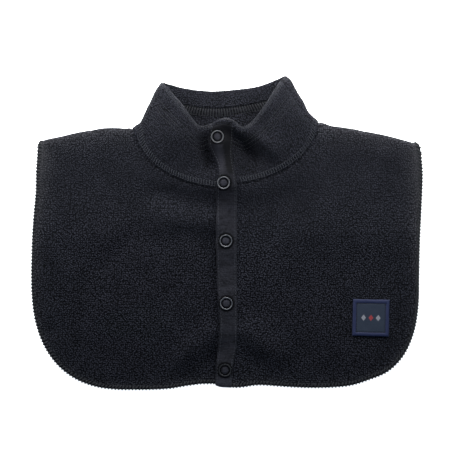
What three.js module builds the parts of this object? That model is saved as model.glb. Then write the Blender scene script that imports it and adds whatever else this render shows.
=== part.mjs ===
// A child's fleece neck warmer: a stand collar on a short bib, closed at the front with five snaps.
// It lies flat on its back. Millimetres: +Z is up from the floor, +Y points to the collar's top edge,
// and the origin is on the floor under the middle of the whole piece.
import * as THREE from "three";

// Cloth
const FLEECE = 2.2; // thickness of one layer of fleece
const COLLAR_HEIGHT = 52; // from the neck seam to the collar's top edge
const HEM_DEPTH = 17; // how far that edge is folded inside
const RIM_ROUND = 1.4; // how far the folded edge stands past its first row
const LAYER_GAP = 0.5; // air between two layers that lie on each other
const CLEARANCE = 0.3; // gap kept between neighbouring pieces
const SEAM_GAP = 0.4; // and between bib and collar
const TAPE = { thickness: 0.7, shortOfRim: 0.2 }; // it stops a share of the first row below the rim

// Snaps
const SNAP = { ring: 11, wire: 1.1, stud: 8.5, studHeight: 1.4, sides: 18 };
const SNAP_SPACE = { gap: 2.2, level: 7, reach: 16 }; // between the two layers, and how far it spreads
const SNAPS = [
  { x: -8.4, y: 82.8 },
  { x: -2.4, y: 43.7 },
  { x: -0.6, y: -6.6 },
  { x: -0.2, y: -60.4 },
  { x: -1.6, y: -118.4 },
];

// Woven patch
const PATCH = { x: 123.9, y: -72.8, side: 31.4, thickness: 0.8, turn: -1.4, cells: 6 };

// The neck seam's front is half an ellipse. Angles run from the front centre, positive to the right.
const NECK = { x: -1.5, y: 95, across: 79.5, dropLeft: 56.5, dropRight: 53.3, backDrop: 16 };
const END = { left: -80, right: 84 }; // seam angle where each shoulder fold starts
const STRIP = { left: -5.2, right: 7.4 }; // seam angles of the placket's two edges
const STRIP_BLEND = 14; // degrees over which the upper layer comes down beside the placket
const STRIP_FADE = 9; // and over which the bib follows the placket's edges
const HEM_SPREAD = 1.12; // over 1, the stations crowd towards the placket along the hem

// The placket's two edges down the front.
const PLACKET = [
  { y: -133, left: -9.2, right: 4.4 },
  { y: -125, left: -9.3, right: 4.4 },
  { y: -113, left: -8.8, right: 5.6 },
  { y: -100, left: -7.4, right: 8.6 },
  { y: -84, left: -5.6, right: 9.3 },
  { y: -60, left: -7.2, right: 9.2 },
  { y: -20, left: -8.7, right: 8.9 },
  { y: 42, left: -8.7, right: 8.8 },
];

// The front of the collar: its top edge over each seam angle. lean and sway bend the strip between seam
// and edge sideways, once and twice, and swell lifts it halfway up.
const RIM_FRONT = [
  { at: -80, x: -49.6, y: 124.6, z: 13.5, lean: 0, sway: 0, swell: 0.5 },
  { at: -67, x: -45.6, y: 119.2, z: 17.5, lean: 0, sway: 0, swell: 2 },
  { at: -52, x: -40.3, y: 112.9, z: 21, lean: 0, sway: 0, swell: 2.5 },
  { at: -37, x: -33.8, y: 104.7, z: 22.5, lean: 0, sway: 0, swell: 2 },
  { at: -24, x: -27.6, y: 97, z: 20.5, lean: 0, sway: 0, swell: 0.5 },
  { at: -13, x: -20.4, y: 91.7, z: 17, lean: 0, sway: 1.5, swell: -0.5 },
  { at: -5.2, x: -12.2, y: 94.6, z: 16, lean: 0, sway: 3.2, swell: 0 },
  { at: 1, x: -2.5, y: 98.6, z: 17.5, lean: -1.8, sway: 1.8, swell: 0.5 },
  { at: 7.4, x: 6.7, y: 96, z: 15.8, lean: -3.6, sway: 0.4, swell: 0.3 },
  { at: 13, x: 13.8, y: 90.8, z: 14.6, lean: -2, sway: 0, swell: 0 },
  { at: 21, x: 20.8, y: 95.2, z: 18, lean: 0, sway: 0, swell: 0 },
  { at: 32, x: 28.2, y: 104, z: 22, lean: 0, sway: 0, swell: 1 },
  { at: 47, x: 35.6, y: 114, z: 24, lean: 0, sway: 0, swell: 2 },
  { at: 62, x: 41.2, y: 122.6, z: 21, lean: 0, sway: 0, swell: 2.5 },
  { at: 75, x: 44.6, y: 128.4, z: 17, lean: 0, sway: 0, swell: 2 },
  { at: 84, x: 46, y: 130.4, z: 13.5, lean: 0, sway: 0, swell: 0.5 },
];

// The back of the collar: its top edge, as a share of the way from left to right.
const RIM_BACK = [
  { share: 0, x: -50.4, y: 128.2, z: 0.3 },
  { share: 0.2, x: -34.6, y: 124.3, z: 0.3 },
  { share: 0.4, x: -14, y: 122, z: 0.2 },
  { share: 0.6, x: 6.7, y: 123.3, z: 0.2 },
  { share: 0.8, x: 27.3, y: 126.4, z: 0.3 },
  { share: 1, x: 44.6, y: 132.6, z: 0.3 },
];

// Outline of the front, from the placket round each lower corner to the shoulder's outer end.
const LEFT_SIDE = {
  hem: [
    { x: -9.2, y: -130.4 },
    { x: -16, y: -129.9 },
    { x: -28, y: -130.3 },
    { x: -41, y: -132.9 },
    { x: -55, y: -134.4 },
    { x: -70, y: -134.8 },
  ],
  corner: { x: -85.9, y: -40.6, across: -81.7, down: 94.2, power: 2.43 },
  side: [
    { x: -166.6, y: -6.2 },
    { x: -165.4, y: 14 },
    { x: -164, y: 34 },
    { x: -163.6, y: 54 },
    { x: -163.4, y: 64 },
    { x: -162, y: 72.6 },
  ],
};
const RIGHT_SIDE = {
  hem: [
    { x: 4.4, y: -132.3 },
    { x: 13.5, y: -131.7 },
    { x: 22, y: -130.6 },
    { x: 41, y: -131.6 },
    { x: 54.8, y: -132.5 },
  ],
  corner: { x: 68.6, y: -32, across: 97.1, down: 101.2, power: 3.1 },
  side: [
    { x: 166.4, y: -6.2 },
    { x: 167.2, y: 11 },
    { x: 168.3, y: 32 },
    { x: 168.5, y: 50 },
    { x: 168.5, y: 63 },
    { x: 166, y: 72 },
  ],
};
const STRIP_HEM = -132.3; // the upper layer's lower edge across the placket
const BACK_HEM = -130; // the back panel's lower edge in the middle
const BACK_SHARE = 0.99; // the back panel is this much smaller than the front

// Heights of the front over the floor
const FLAT = 2 * FLEECE + LAYER_GAP; // where it lies on the back panel
const SHOULDER = { rise: 4.3, run: 24, bowLeft: 4.2, bowRight: 1.7 };
const NECK_RISE = { side: 3.9, centre: 8.6, run: 22, power: 1.3 };
const FOLDS = [
  { x: -40, y: 11, turn: 0, length: 34, width: 11, height: 1.9 },
  { x: -108, y: 6, turn: -4, length: 52, width: 38, height: 1.5 },
  { x: 95, y: 10, turn: -6, length: 70, width: 36, height: 1.6 },
  { x: 44, y: -22, turn: 60, length: 34, width: 16, height: 0.9 },
  { x: -27, y: -91, turn: 48, length: 17, width: 8, height: 1.6 },
  { x: 25, y: -87, turn: -48, length: 18, width: 8, height: 1.6 },
  { x: -75, y: -85, turn: 25, length: 38, width: 20, height: 0.8 },
  { x: 88, y: -95, turn: -20, length: 38, width: 20, height: 0.8 },
];
// Dents in the collar's front, beside the placket.
const DENTS = [
  { x: 19, y: 74, turn: -39, length: 22, width: 7.5, height: -3.2 },
  { x: -19, y: 76, turn: 100, length: 15, width: 6, height: -2 },
];

// Direction in plan in which each fold turns, in degrees, from the seam outwards.
const SHOULDER_TURN = {
  left: [
    { v: 0, angle: 113 },
    { v: 0.15, angle: 98 },
    { v: 0.85, angle: 97 },
    { v: 1, angle: 76 },
  ],
  right: [
    { v: 0, angle: 67 },
    { v: 0.15, angle: 79 },
    { v: 0.85, angle: 80 },
    { v: 1, angle: 112 },
  ],
};
const COLLAR_TURN = {
  left: [
    { v: 0, angle: 113 },
    { v: 0.25, angle: 142 },
    { v: 1, angle: 149 },
  ],
  right: [
    { v: 0, angle: 67 },
    { v: 0.25, angle: 42 },
    { v: 1, angle: 38 },
  ],
};
const COLLAR_PINCH = { left: 0.82, right: 0.95 }; // the collar's side folds are a little flatter than round
const COLLAR_TUCK = { left: 4.6, right: -0.4, power: 0.45 }; // and they turn in above the seam

// Fineness of the grids
const STEPS = { strip: 4, front: 20, fold: 6, back: 22 };
const HEM_START = 1 - HEM_DEPTH / COLLAR_HEIGHT; // share of the collar's height where it turns double
const HEM_STEP = 0.012; // half the share over which it gets thicker
// Rows as shares of the way from the seam: down the bib to its edge, and down the collar to the seam.
const BIB_ROWS = [
  ...[0, 0.05, 0.11, 0.18, 0.243, 0.312, 0.39],
  ...[0.47, 0.552, 0.622, 0.71, 0.8, 0.885, 0.955, 1],
];
const COLLAR_ROWS = [
  ...[0.97, 0.89, 0.78, HEM_START + HEM_STEP],
  ...[HEM_START - HEM_STEP, 0.55, 0.44, 0.32, 0.2, 0.09, 0],
];

const { degToRad, lerp, clamp, smoothstep } = THREE.MathUtils;
const vec = (x, y, z) => new THREE.Vector3(x, y, z);

// The row of a table at a key between its rows, each column on a smooth curve through the rows.
function rowAt(table, key, at) {
  const last = table.length - 1;
  const above = table.findIndex((row) => row[key] > at);
  const k = above < 0 ? last - 1 : Math.max(above - 1, 0);
  const a = table[k];
  const b = table[k + 1];
  const before = table[Math.max(k - 1, 0)];
  const after = table[Math.min(k + 2, last)];
  const span = b[key] - a[key];
  const t = clamp((at - a[key]) / span, 0, 1);
  const row = {};
  for (const column of Object.keys(a)) {
    const startSlope = ((b[column] - before[column]) / (b[key] - before[key])) * span;
    const endSlope = ((after[column] - a[column]) / (after[key] - a[key])) * span;
    const fromStart = a[column] * (1 + 2 * t) + startSlope * t;
    const fromEnd = b[column] * (3 - 2 * t) - endSlope * (1 - t);
    row[column] = fromStart * (1 - t) ** 2 + fromEnd * t ** 2;
  }
  return row;
}

// The sum of a table's soft ridges or dents at a point in plan.
function reliefAt(table, x, y) {
  let sum = 0;
  for (const fold of table) {
    const c = Math.cos(degToRad(fold.turn));
    const s = Math.sin(degToRad(fold.turn));
    const along = ((x - fold.x) * c + (y - fold.y) * s) / fold.length;
    const across = ((y - fold.y) * c - (x - fold.x) * s) / fold.width;
    sum += fold.height * Math.exp(-along * along - across * across);
  }
  return sum;
}

// How close a point in plan is to a snap, from 0 to 1.
function snapNearness(x, y) {
  const nearest = Math.min(...SNAPS.map((snap) => Math.hypot(snap.x - x, snap.y - y)));
  return 1 - smoothstep(nearest, SNAP_SPACE.level, SNAP_SPACE.reach);
}

function neckDrop(angle) {
  return lerp(NECK.dropLeft, NECK.dropRight, smoothstep(angle, STRIP.left, STRIP.right + 2));
}

function seamPlan(angle) {
  const a = degToRad(angle);
  return vec(NECK.x + NECK.across * Math.sin(a), NECK.y - neckDrop(angle) * Math.cos(a), 0);
}

// One side's outline as a curve from the placket to the shoulder's end.
function outlineCurve({ hem, corner, side }) {
  const points = hem.map((row) => vec(row.x, row.y, 0));
  const arcSteps = 14;
  for (let i = 0; i <= arcSteps; i++) {
    const a = (Math.PI / 2) * (1 - i / arcSteps);
    const x = corner.x + corner.across * Math.cos(a) ** (2 / corner.power);
    const y = corner.y - corner.down * Math.sin(a) ** (2 / corner.power);
    points.push(vec(x, y, 0));
  }
  points.push(...side.map((row) => vec(row.x, row.y, 0)));
  const curve = new THREE.CatmullRomCurve3(points, false, "centripetal");
  curve.arcLengthDivisions = 600;
  return curve;
}
const leftOutline = outlineCurve(LEFT_SIDE);
const rightOutline = outlineCurve(RIGHT_SIDE);

// The whole outline of the back panel, from the left shoulder's end round to the right one.
function backOutlineCurve() {
  const samples = 40;
  const left = leftOutline.getSpacedPoints(samples).reverse();
  const right = rightOutline.getSpacedPoints(samples);
  const inset = (p) => vec(p.x * BACK_SHARE, p.y * BACK_SHARE, 0);
  const clear = (p) => Math.abs(p.x) > 25;
  const points = [...left.filter(clear), vec(0, BACK_HEM / BACK_SHARE, 0), ...right.filter(clear)];
  const curve = new THREE.CatmullRomCurve3(points.map(inset), false, "centripetal");
  curve.arcLengthDivisions = 600;
  return curve;
}
const backOutline = backOutlineCurve();

function hemPlan(angle, layer) {
  if (angle < STRIP.left || angle > STRIP.right) {
    const left = angle < 0;
    const start = left ? STRIP.left : STRIP.right;
    const end = left ? END.left : END.right;
    const share = clamp((angle - start) / (end - start), 0, 1);
    return (left ? leftOutline : rightOutline).getPointAt(share ** HEM_SPREAD);
  }
  const across = (angle - STRIP.left) / (STRIP.right - STRIP.left);
  const y = layer === "under" ? LEFT_SIDE.hem[0].y : STRIP_HEM;
  const edges = rowAt(PLACKET, "y", y);
  return vec(lerp(edges.left, edges.right, across), y, 0);
}

// How far the placket's edges stray from straight, at a share v of the way down.
function placketStray(edge, from, to, v) {
  const here = rowAt(PLACKET, "y", lerp(from.y, to.y, v))[edge];
  return here - lerp(from.x, to.x, v);
}

function bibPlan(angle, v, layer) {
  const from = seamPlan(angle);
  const to = hemPlan(angle, layer);
  const point = from.clone().lerp(to, v);
  const near = clamp(angle, STRIP.left, STRIP.right);
  const across = (near - STRIP.left) / (STRIP.right - STRIP.left);
  const leftStray = placketStray("left", seamPlan(STRIP.left), hemPlan(STRIP.left, layer), v);
  const rightStray = placketStray("right", seamPlan(STRIP.right), hemPlan(STRIP.right, layer), v);
  point.x += lerp(leftStray, rightStray, across) * Math.exp(-(((angle - near) / STRIP_FADE) ** 2));
  const end = angle < 0 ? END.left : END.right;
  const bow = angle < 0 ? SHOULDER.bowLeft : SHOULDER.bowRight;
  point.y += bow * Math.sin(Math.PI * v) * clamp(angle / end, 0, 1) ** 5;
  return point;
}

// Distance below the shoulder fold, in plan.
function belowShoulder(x, y) {
  const end = x < 0 ? END.left : END.right;
  const inner = seamPlan(end);
  const outer = hemPlan(end, "upper");
  const share = clamp((x - inner.x) / (outer.x - inner.x), 0, 1);
  const bow = x < 0 ? SHOULDER.bowLeft : SHOULDER.bowRight;
  return Math.max(lerp(inner.y, outer.y, share) + bow * Math.sin(Math.PI * share) - y, 0);
}

// Height of the front panel's outer face where one layer covers the back panel.
function frontHeight(x, y) {
  const dx = x - NECK.x;
  const dy = y - NECK.y;
  const reach = Math.hypot(dx, dy);
  const ratio = Math.hypot(dx / NECK.across, dy / neckDrop(x < NECK.x ? END.left : END.right));
  const outside = Math.max(reach * (1 - 1 / ratio), 0);
  const facing = clamp(-dy / reach, 0, 1);
  const fall = Math.exp(-((outside / NECK_RISE.run) ** NECK_RISE.power));
  const neck = lerp(NECK_RISE.side, NECK_RISE.centre, facing) * fall;
  const shoulder = SHOULDER.rise * Math.exp(-((belowShoulder(x, y) / SHOULDER.run) ** 2));
  const highest = (neck ** 4 + shoulder ** 4) ** 0.25;
  return FLAT + highest + reliefAt(FOLDS, x, y);
}

function bibFront(angle, v, layer) {
  const point = bibPlan(angle, v, layer);
  point.z = frontHeight(point.x, point.y);
  return point;
}

// How far the collar's side turns in at a share v of its height.
function tuck(side, v) {
  return COLLAR_TUCK[side] * Math.sin(Math.PI * clamp(v, 0, 1) ** COLLAR_TUCK.power);
}

function collarFront(angle, v) {
  const from = bibFront(angle, 0);
  const row = rowAt(RIM_FRONT, "at", angle);
  const point = from.lerp(vec(row.x, row.y, row.z), v);
  const side = angle < 0 ? "left" : "right";
  const once = Math.sin(Math.PI * v);
  point.x += row.lean * once + row.sway * Math.sin(2 * Math.PI * v);
  point.x += tuck(side, v) * clamp(angle / END[side], 0, 1) ** 4;
  point.z += once * (row.swell + reliefAt(DENTS, point.x, point.y));
  return point;
}

const backAngle = (share) => lerp(END.left, END.right, share);

function backSeam(share) {
  const a = degToRad(backAngle(share));
  const straight = lerp(seamPlan(END.left).y, seamPlan(END.right).y, share);
  return vec(NECK.x + NECK.across * Math.sin(a), straight - NECK.backDrop * Math.sin(Math.PI * share), 0);
}

function bibBack(share, v) {
  const point = backSeam(share).lerp(backOutline.getPointAt(share), v);
  const bow = lerp(SHOULDER.bowLeft, SHOULDER.bowRight, share);
  point.y += bow * Math.sin(Math.PI * v) * Math.abs(2 * share - 1) ** 9;
  return point;
}

function collarBack(share, v) {
  const rim = rowAt(RIM_BACK, "share", share);
  const point = backSeam(share).lerp(vec(rim.x, rim.y, rim.z), v);
  point.x += tuck(share < 0.5 ? "left" : "right", v) * Math.abs(2 * share - 1) ** 6;
  return point;
}

// A point on a fold that turns from the front's height down to the back, at a turn from 90 to -90 degrees.
function foldPoint(front, back, direction, pinch, turn) {
  const t = degToRad(turn);
  const d = degToRad(direction);
  const reach = ((front.z - back.z) / 2) * pinch * Math.cos(t);
  const point = back.clone().lerp(front, (1 + Math.sin(t)) / 2);
  return point.add(vec(Math.cos(d) * reach, Math.sin(d) * reach, 0));
}

// How far the upper layer's outer face stands over the lower layer's, beside and along the placket.
function lift(angle, point, thickness) {
  const over = 1 - smoothstep(angle, STRIP.right, STRIP.right + STRIP_BLEND);
  return over * (thickness + lerp(LAYER_GAP, SNAP_SPACE.gap, snapNearness(point.x, point.y)));
}

function raised(surface, angle, v, thickness) {
  const point = surface(angle, v, "upper");
  const d = 1e-3;
  const across = surface(angle + d, v, "upper").sub(surface(angle - d, v, "upper"));
  const down = surface(angle, v + d, "upper").sub(surface(angle, v - d, "upper"));
  const normal = across.cross(down).normalize();
  if (normal.z < 0) normal.negate();
  return point.addScaledVector(normal, lift(angle, point, thickness));
}

// Thickness of the collar as the upper layer sees it, which thickens towards the hem.
const collarStack = (v) => FLEECE * (1 + smoothstep(v, HEM_START - 0.18, HEM_START - 0.03));

const BIB = {
  front: (s, v) =>
    s.layer === "upper" ? raised(bibFront, s.angle, v, FLEECE) : bibFront(s.angle, v, "under"),
  back: (s, v) => bibBack(s.share, v),
  turns: SHOULDER_TURN,
  pinch: { left: 1, right: 1 },
};
const COLLAR = {
  front: (s, v) =>
    s.layer === "upper" ? raised(collarFront, s.angle, v, collarStack(v)) : collarFront(s.angle, v),
  back: (s, v) => collarBack(s.share, v),
  turns: COLLAR_TURN,
  pinch: COLLAR_PINCH,
};

// The point of the bib's or the collar's outer face at a station round the neck and a row v from the seam.
function outerPoint(cloth, station, v) {
  if (station.zone === "front") return cloth.front(station, v);
  if (station.zone === "back") return cloth.back(station, v);
  const { side, turn } = station;
  const front = cloth.front({ angle: END[side], layer: "under" }, v);
  const back = cloth.back({ share: side === "left" ? 0 : 1 }, v);
  const direction = rowAt(cloth.turns[side], "v", v).angle;
  const pinch = lerp(1, cloth.pinch[side], smoothstep(v, 0, 0.3));
  return foldPoint(front, back, direction, pinch, turn);
}

function spaced(from, to, steps, first = 0, last = steps) {
  const values = [];
  for (let i = first; i <= last; i++) values.push(lerp(from, to, i / steps));
  return values;
}

// Stations round the neck: from the lower layer's free edge, by way of the back, to the upper layer's.
function makeStations() {
  const { strip, front, fold, back } = STEPS;
  const frontAt = (layer) => (angle) => ({ zone: "front", layer, angle });
  const foldAt = (side) => (turn) => ({ zone: "fold", side, turn });
  return [
    ...spaced(STRIP.right, STRIP.left, strip, 0, strip - 1).map(frontAt("under")),
    ...spaced(STRIP.left, END.left, front).map(frontAt("under")),
    ...spaced(90, -90, fold, 1, fold - 1).map(foldAt("left")),
    ...spaced(0, 1, back).map((share) => ({ zone: "back", share })),
    ...spaced(-90, 90, fold, 1, fold - 1).map(foldAt("right")),
    ...spaced(END.right, STRIP.right, front).map(frontAt("upper")),
    ...spaced(STRIP.right, STRIP.left, strip, 1).map(frontAt("upper")),
  ];
}
const stations = makeStations();
const stripStart = stations.length - 1 - STEPS.strip; // the first station on the upper layer's placket

// Directions square to a grid of points, pointing out.
function gridNormals(grid) {
  const pick = (list, i) => list[clamp(i, 0, list.length - 1)];
  return grid.map((row, i) =>
    row.map((point, j) => {
      const along = pick(grid, i + 1)[j].clone().sub(pick(grid, i - 1)[j]);
      const down = pick(row, j + 1).clone().sub(pick(row, j - 1));
      return along.cross(down).normalize();
    }),
  );
}

const bibOuter = stations.map((s) => BIB_ROWS.map((v) => outerPoint(BIB, s, v)));
const collarOuter = stations.map((s) => COLLAR_ROWS.map((v) => outerPoint(COLLAR, s, v)));
const bibNormals = gridNormals(bibOuter);
const collarNormals = gridNormals(collarOuter);

// Where they meet, bib and collar share one direction through the cloth, and each stays clear of the seam.
const collarSeam = COLLAR_ROWS.length - 1;
stations.forEach((_, i) => {
  const shared = bibNormals[i][0].clone().add(collarNormals[i][collarSeam]).normalize();
  bibNormals[i][0] = shared;
  collarNormals[i][collarSeam] = shared.clone();
  const intoBib = bibOuter[i][1].clone().sub(bibOuter[i][0]).normalize();
  const intoCollar = collarOuter[i][collarSeam - 1].clone().sub(collarOuter[i][collarSeam]).normalize();
  bibOuter[i][0].addScaledVector(intoBib, SEAM_GAP / 2);
  collarOuter[i][collarSeam].addScaledVector(intoCollar, SEAM_GAP / 2);
});

// A closed sheet between an outer and an inner grid. edge holds points that round its first row.
function sheetGeometry(outer, inner, edge = null) {
  const rows = outer[0].length;
  const end = rows - 1;
  const count = outer.length;
  const positions = [...outer.flat(), ...inner.flat(), ...(edge ?? [])].flatMap((p) => [p.x, p.y, p.z]);
  const out = (i, j) => i * rows + j;
  const inn = (i, j) => (count + i) * rows + j;
  const rim = (i) => 2 * count * rows + i;
  const index = [];
  const quad = (a, b, c, d) => index.push(a, b, c, a, c, d);
  for (let i = 0; i + 1 < count; i++) {
    for (let j = 0; j < end; j++) {
      quad(out(i, j), out(i + 1, j), out(i + 1, j + 1), out(i, j + 1));
      quad(inn(i, j), inn(i, j + 1), inn(i + 1, j + 1), inn(i + 1, j));
    }
    quad(out(i, end), out(i + 1, end), inn(i + 1, end), inn(i, end));
    if (edge) {
      quad(out(i, 0), rim(i), rim(i + 1), out(i + 1, 0));
      quad(rim(i), inn(i, 0), inn(i + 1, 0), rim(i + 1));
    } else {
      quad(out(i, 0), inn(i, 0), inn(i + 1, 0), out(i + 1, 0));
    }
  }
  const k = count - 1;
  for (let j = 0; j < end; j++) {
    quad(out(0, j), out(0, j + 1), inn(0, j + 1), inn(0, j));
    quad(out(k, j), inn(k, j), inn(k, j + 1), out(k, j + 1));
  }
  if (edge) index.push(out(0, 0), inn(0, 0), rim(0), out(k, 0), rim(k), inn(k, 0));
  const geometry = new THREE.BufferGeometry();
  geometry.setAttribute("position", new THREE.Float32BufferAttribute(positions, 3));
  geometry.setIndex(index);
  geometry.computeVertexNormals();
  return geometry;
}

const offsetGrid = (grid, normals, distance) =>
  grid.map((row, i) => row.map((p, j) => p.clone().addScaledVector(normals[i][j], distance(j))));

function bibGeometry() {
  return sheetGeometry(bibOuter, offsetGrid(bibOuter, bibNormals, () => -FLEECE));
}

function collarGeometry() {
  const thickness = (j) => (COLLAR_ROWS[j] > HEM_START ? 2 * FLEECE : FLEECE);
  const inner = offsetGrid(collarOuter, collarNormals, (j) => -thickness(j));
  const edge = collarOuter.map((row, i) => {
    const onward = row[0].clone().sub(row[1]).normalize();
    return row[0].clone().lerp(inner[i][0], 0.5).addScaledVector(onward, RIM_ROUND);
  });
  return sheetGeometry(collarOuter, inner, edge);
}

// The tape covers the upper layer's strip, from just under the collar's edge down over the seam to the hem.
function tapeGeometry() {
  const both = (collar, bib) => bib.slice(stripStart).map((row, i) => [...collar[stripStart + i], ...row]);
  const strip = both(collarOuter, bibOuter);
  const normals = both(collarNormals, bibNormals);
  for (const row of strip) row[0].lerp(row[1], TAPE.shortOfRim);
  const top = offsetGrid(strip, normals, () => CLEARANCE + TAPE.thickness);
  return sheetGeometry(top, offsetGrid(strip, normals, () => CLEARANCE));
}

// The highest point of some stations' outer face over a point in plan, with its direction.
function onFace(grid, x, y, first = 0, last = grid.length - 1) {
  const ray = new THREE.Ray(vec(x, y, 200), vec(0, 0, -1));
  let best = null;
  for (let i = first; i < last; i++) {
    for (let j = 0; j + 1 < grid[i].length; j++) {
      const corners = [grid[i][j], grid[i + 1][j], grid[i + 1][j + 1], grid[i][j + 1]];
      for (const [a, b, c] of [[0, 1, 2], [0, 2, 3]]) {
        const hit = ray.intersectTriangle(corners[a], corners[b], corners[c], false, vec(0, 0, 0));
        if (hit && (!best || hit.z > best.point.z)) {
          const normal = new THREE.Triangle(corners[a], corners[b], corners[c]).getNormal(vec(0, 0, 0));
          best = { point: hit, normal: normal.z < 0 ? normal.negate() : normal };
        }
      }
    }
  }
  return best;
}

function patchGeometry() {
  const { cells, side, thickness } = PATCH;
  const c = Math.cos(degToRad(PATCH.turn));
  const s = Math.sin(degToRad(PATCH.turn));
  const grid = (height) => {
    const columns = [];
    for (let i = 0; i <= cells; i++) {
      const column = [];
      for (let j = 0; j <= cells; j++) {
        const u = side * (i / cells - 0.5);
        const w = side * (j / cells - 0.5);
        const x = PATCH.x + u * c - w * s;
        const y = PATCH.y + u * s + w * c;
        column.push(vec(x, y, onFace(bibOuter, x, y).point.z + height));
      }
      columns.push(column);
    }
    return columns;
  };
  return sheetGeometry(grid(CLEARANCE + thickness), grid(CLEARANCE));
}

const cloth = (color, roughness) =>
  new THREE.MeshStandardMaterial({ color, roughness, metalness: 0, side: THREE.DoubleSide });
const MATERIALS = {
  fleece: cloth(0x22242a, 1),
  tape: cloth(0x2a2b31, 0.85),
  patch: cloth(0x27324f, 0.7),
  metal: new THREE.MeshStandardMaterial({ color: 0x8b8e94, roughness: 0.35, metalness: 1 }),
};

const neckWarmer = new THREE.Group();
neckWarmer.name = "neck_warmer";

function add(name, geometry, material) {
  const mesh = new THREE.Mesh(geometry, material);
  mesh.name = name;
  neckWarmer.add(mesh);
  return mesh;
}

add("bib", bibGeometry(), MATERIALS.fleece);
add("collar", collarGeometry(), MATERIALS.fleece);
add("placket_tape", tapeGeometry(), MATERIALS.tape);
add("label_patch", patchGeometry(), MATERIALS.patch);

// Each snap: an open ring on the tape and a plain stud between the two layers.
SNAPS.forEach((snap, k) => {
  const onCollar = snap.y > NECK.y - NECK.dropRight;
  const grid = onCollar ? collarOuter : bibOuter;
  const { point, normal } = onFace(grid, snap.x, snap.y, stripStart);
  const wire = SNAP.wire / 2;
  const ringShape = new THREE.TorusGeometry(SNAP.ring / 2 - wire, wire, 6, SNAP.sides);
  const ring = add("snap_ring_" + (k + 1), ringShape, MATERIALS.metal);
  ring.position.copy(point).addScaledVector(normal, 2 * CLEARANCE + TAPE.thickness + wire);
  ring.quaternion.setFromUnitVectors(vec(0, 0, 1), normal);
  const studRadius = SNAP.stud / 2;
  const studShape = new THREE.CylinderGeometry(studRadius, studRadius, SNAP.studHeight, SNAP.sides);
  const stud = add("snap_stud_" + (k + 1), studShape.rotateX(Math.PI / 2), MATERIALS.metal);
  const upperLayer = onCollar && snap.y > NECK.y - HEM_DEPTH ? 2 * FLEECE : FLEECE;
  stud.position.copy(point).addScaledVector(normal, -upperLayer - SNAP_SPACE.gap / 2);
  stud.quaternion.setFromUnitVectors(vec(0, 0, 1), normal);
});

export default neckWarmer;
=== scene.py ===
"""A child's fleece neck warmer lying flat: its cloth, seams, snaps and patch. Metres, +Z up."""
import math
import bmesh
import bpy
import numpy as np
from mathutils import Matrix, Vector


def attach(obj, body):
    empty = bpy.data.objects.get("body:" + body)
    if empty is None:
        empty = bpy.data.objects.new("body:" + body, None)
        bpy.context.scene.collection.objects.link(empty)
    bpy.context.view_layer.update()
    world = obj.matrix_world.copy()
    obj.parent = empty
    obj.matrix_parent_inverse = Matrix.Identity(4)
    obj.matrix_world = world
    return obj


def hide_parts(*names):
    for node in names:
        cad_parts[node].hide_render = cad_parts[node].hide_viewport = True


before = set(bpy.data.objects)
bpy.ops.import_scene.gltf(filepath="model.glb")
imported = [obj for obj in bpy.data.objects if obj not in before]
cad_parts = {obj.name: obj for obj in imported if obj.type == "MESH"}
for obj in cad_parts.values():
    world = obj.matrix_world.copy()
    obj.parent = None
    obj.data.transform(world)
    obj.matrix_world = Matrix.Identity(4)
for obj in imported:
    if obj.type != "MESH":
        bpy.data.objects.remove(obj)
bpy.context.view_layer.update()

MM = 0.001
TINY = 1e-12

# Cloth
FLEECE = 2.2 * MM  # thickness of one layer
HEM_DEPTH = 12.5 * MM  # how far the collar's edge is folded inside
NECK = {"x": -1.5 * MM, "y": 95 * MM, "across": 79.5 * MM, "drop": 56.5 * MM}
PLACKET_ANGLE = -5.2  # where the placket's free edge meets the neck seam, in degrees from the front's centre

# The solids' grids: cells in each zone round the neck, and rows from the seam to each edge.
ZONES = (("under", 4), ("left", 20), ("left_fold", 6), ("back", 22),
         ("right_fold", 6), ("right", 20), ("strip", 4))
BIB_ROWS = 15
COLLAR_ROWS = 11
WELD = 1e-6
CORNER_REACH = 1.2 * MM  # the corners of both faces lie within this of each other in plan

SEED = 11
LATTICE_SIDE = 48
rng = np.random.default_rng(SEED)
LATTICE = rng.random((LATTICE_SIDE,) * 3)


def lumps(points, size):
    """Smooth noise from -1 to 1 at points, with lumps of a size."""
    place = points / size
    cell = np.floor(place).astype(int)
    part = place - cell
    part = part * part * (3 - 2 * part)
    total = np.zeros(points.shape[:-1])
    for corner in np.ndindex(2, 2, 2):
        weight = np.prod(np.where(corner, part, 1 - part), axis=-1)
        x, y, z = np.moveaxis((cell + corner) % LATTICE_SIDE, -1, 0)
        total += weight * LATTICE[x, y, z]
    return 2 * total - 1


def unit(vectors):
    return vectors / np.maximum(np.linalg.norm(vectors, axis=-1, keepdims=True), TINY)


def smooth(value, low, high):
    """A soft step from 0 at a low value to 1 at a high one."""
    t = np.clip((value - low) / (high - low), 0, 1)
    return t * t * (3 - 2 * t)


def fade(value, low, high):
    return 1 - smooth(value, low, high)


def bell(value, width, at=0.0):
    """A soft hump of height 1 at a place, which falls over its half-width."""
    return np.exp(-((value - at) / width) ** 2)


def zone_start(name):
    """The first station of a zone round the neck."""
    start = 0
    for zone, cells in ZONES:
        if zone == name:
            return start
        start += cells
    return start


STATIONS = zone_start(None) + 1


# Reading a solid's grid

def edge_fan(vert, first):
    """The edges round a vertex in order, from one of them."""
    edges = [first]
    face = first.link_faces[0]
    while True:
        edge = next(e for e in face.edges if vert in e.verts and e != edges[-1])
        if edge == first:
            return edges
        edges.append(edge)
        face = next(f for f in edge.link_faces if f != face)


def edge_towards(vert, direction):
    def along(edge):
        return (edge.other_vert(vert).co - vert.co).normalized().dot(direction)

    return max(vert.link_edges, key=along)


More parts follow.
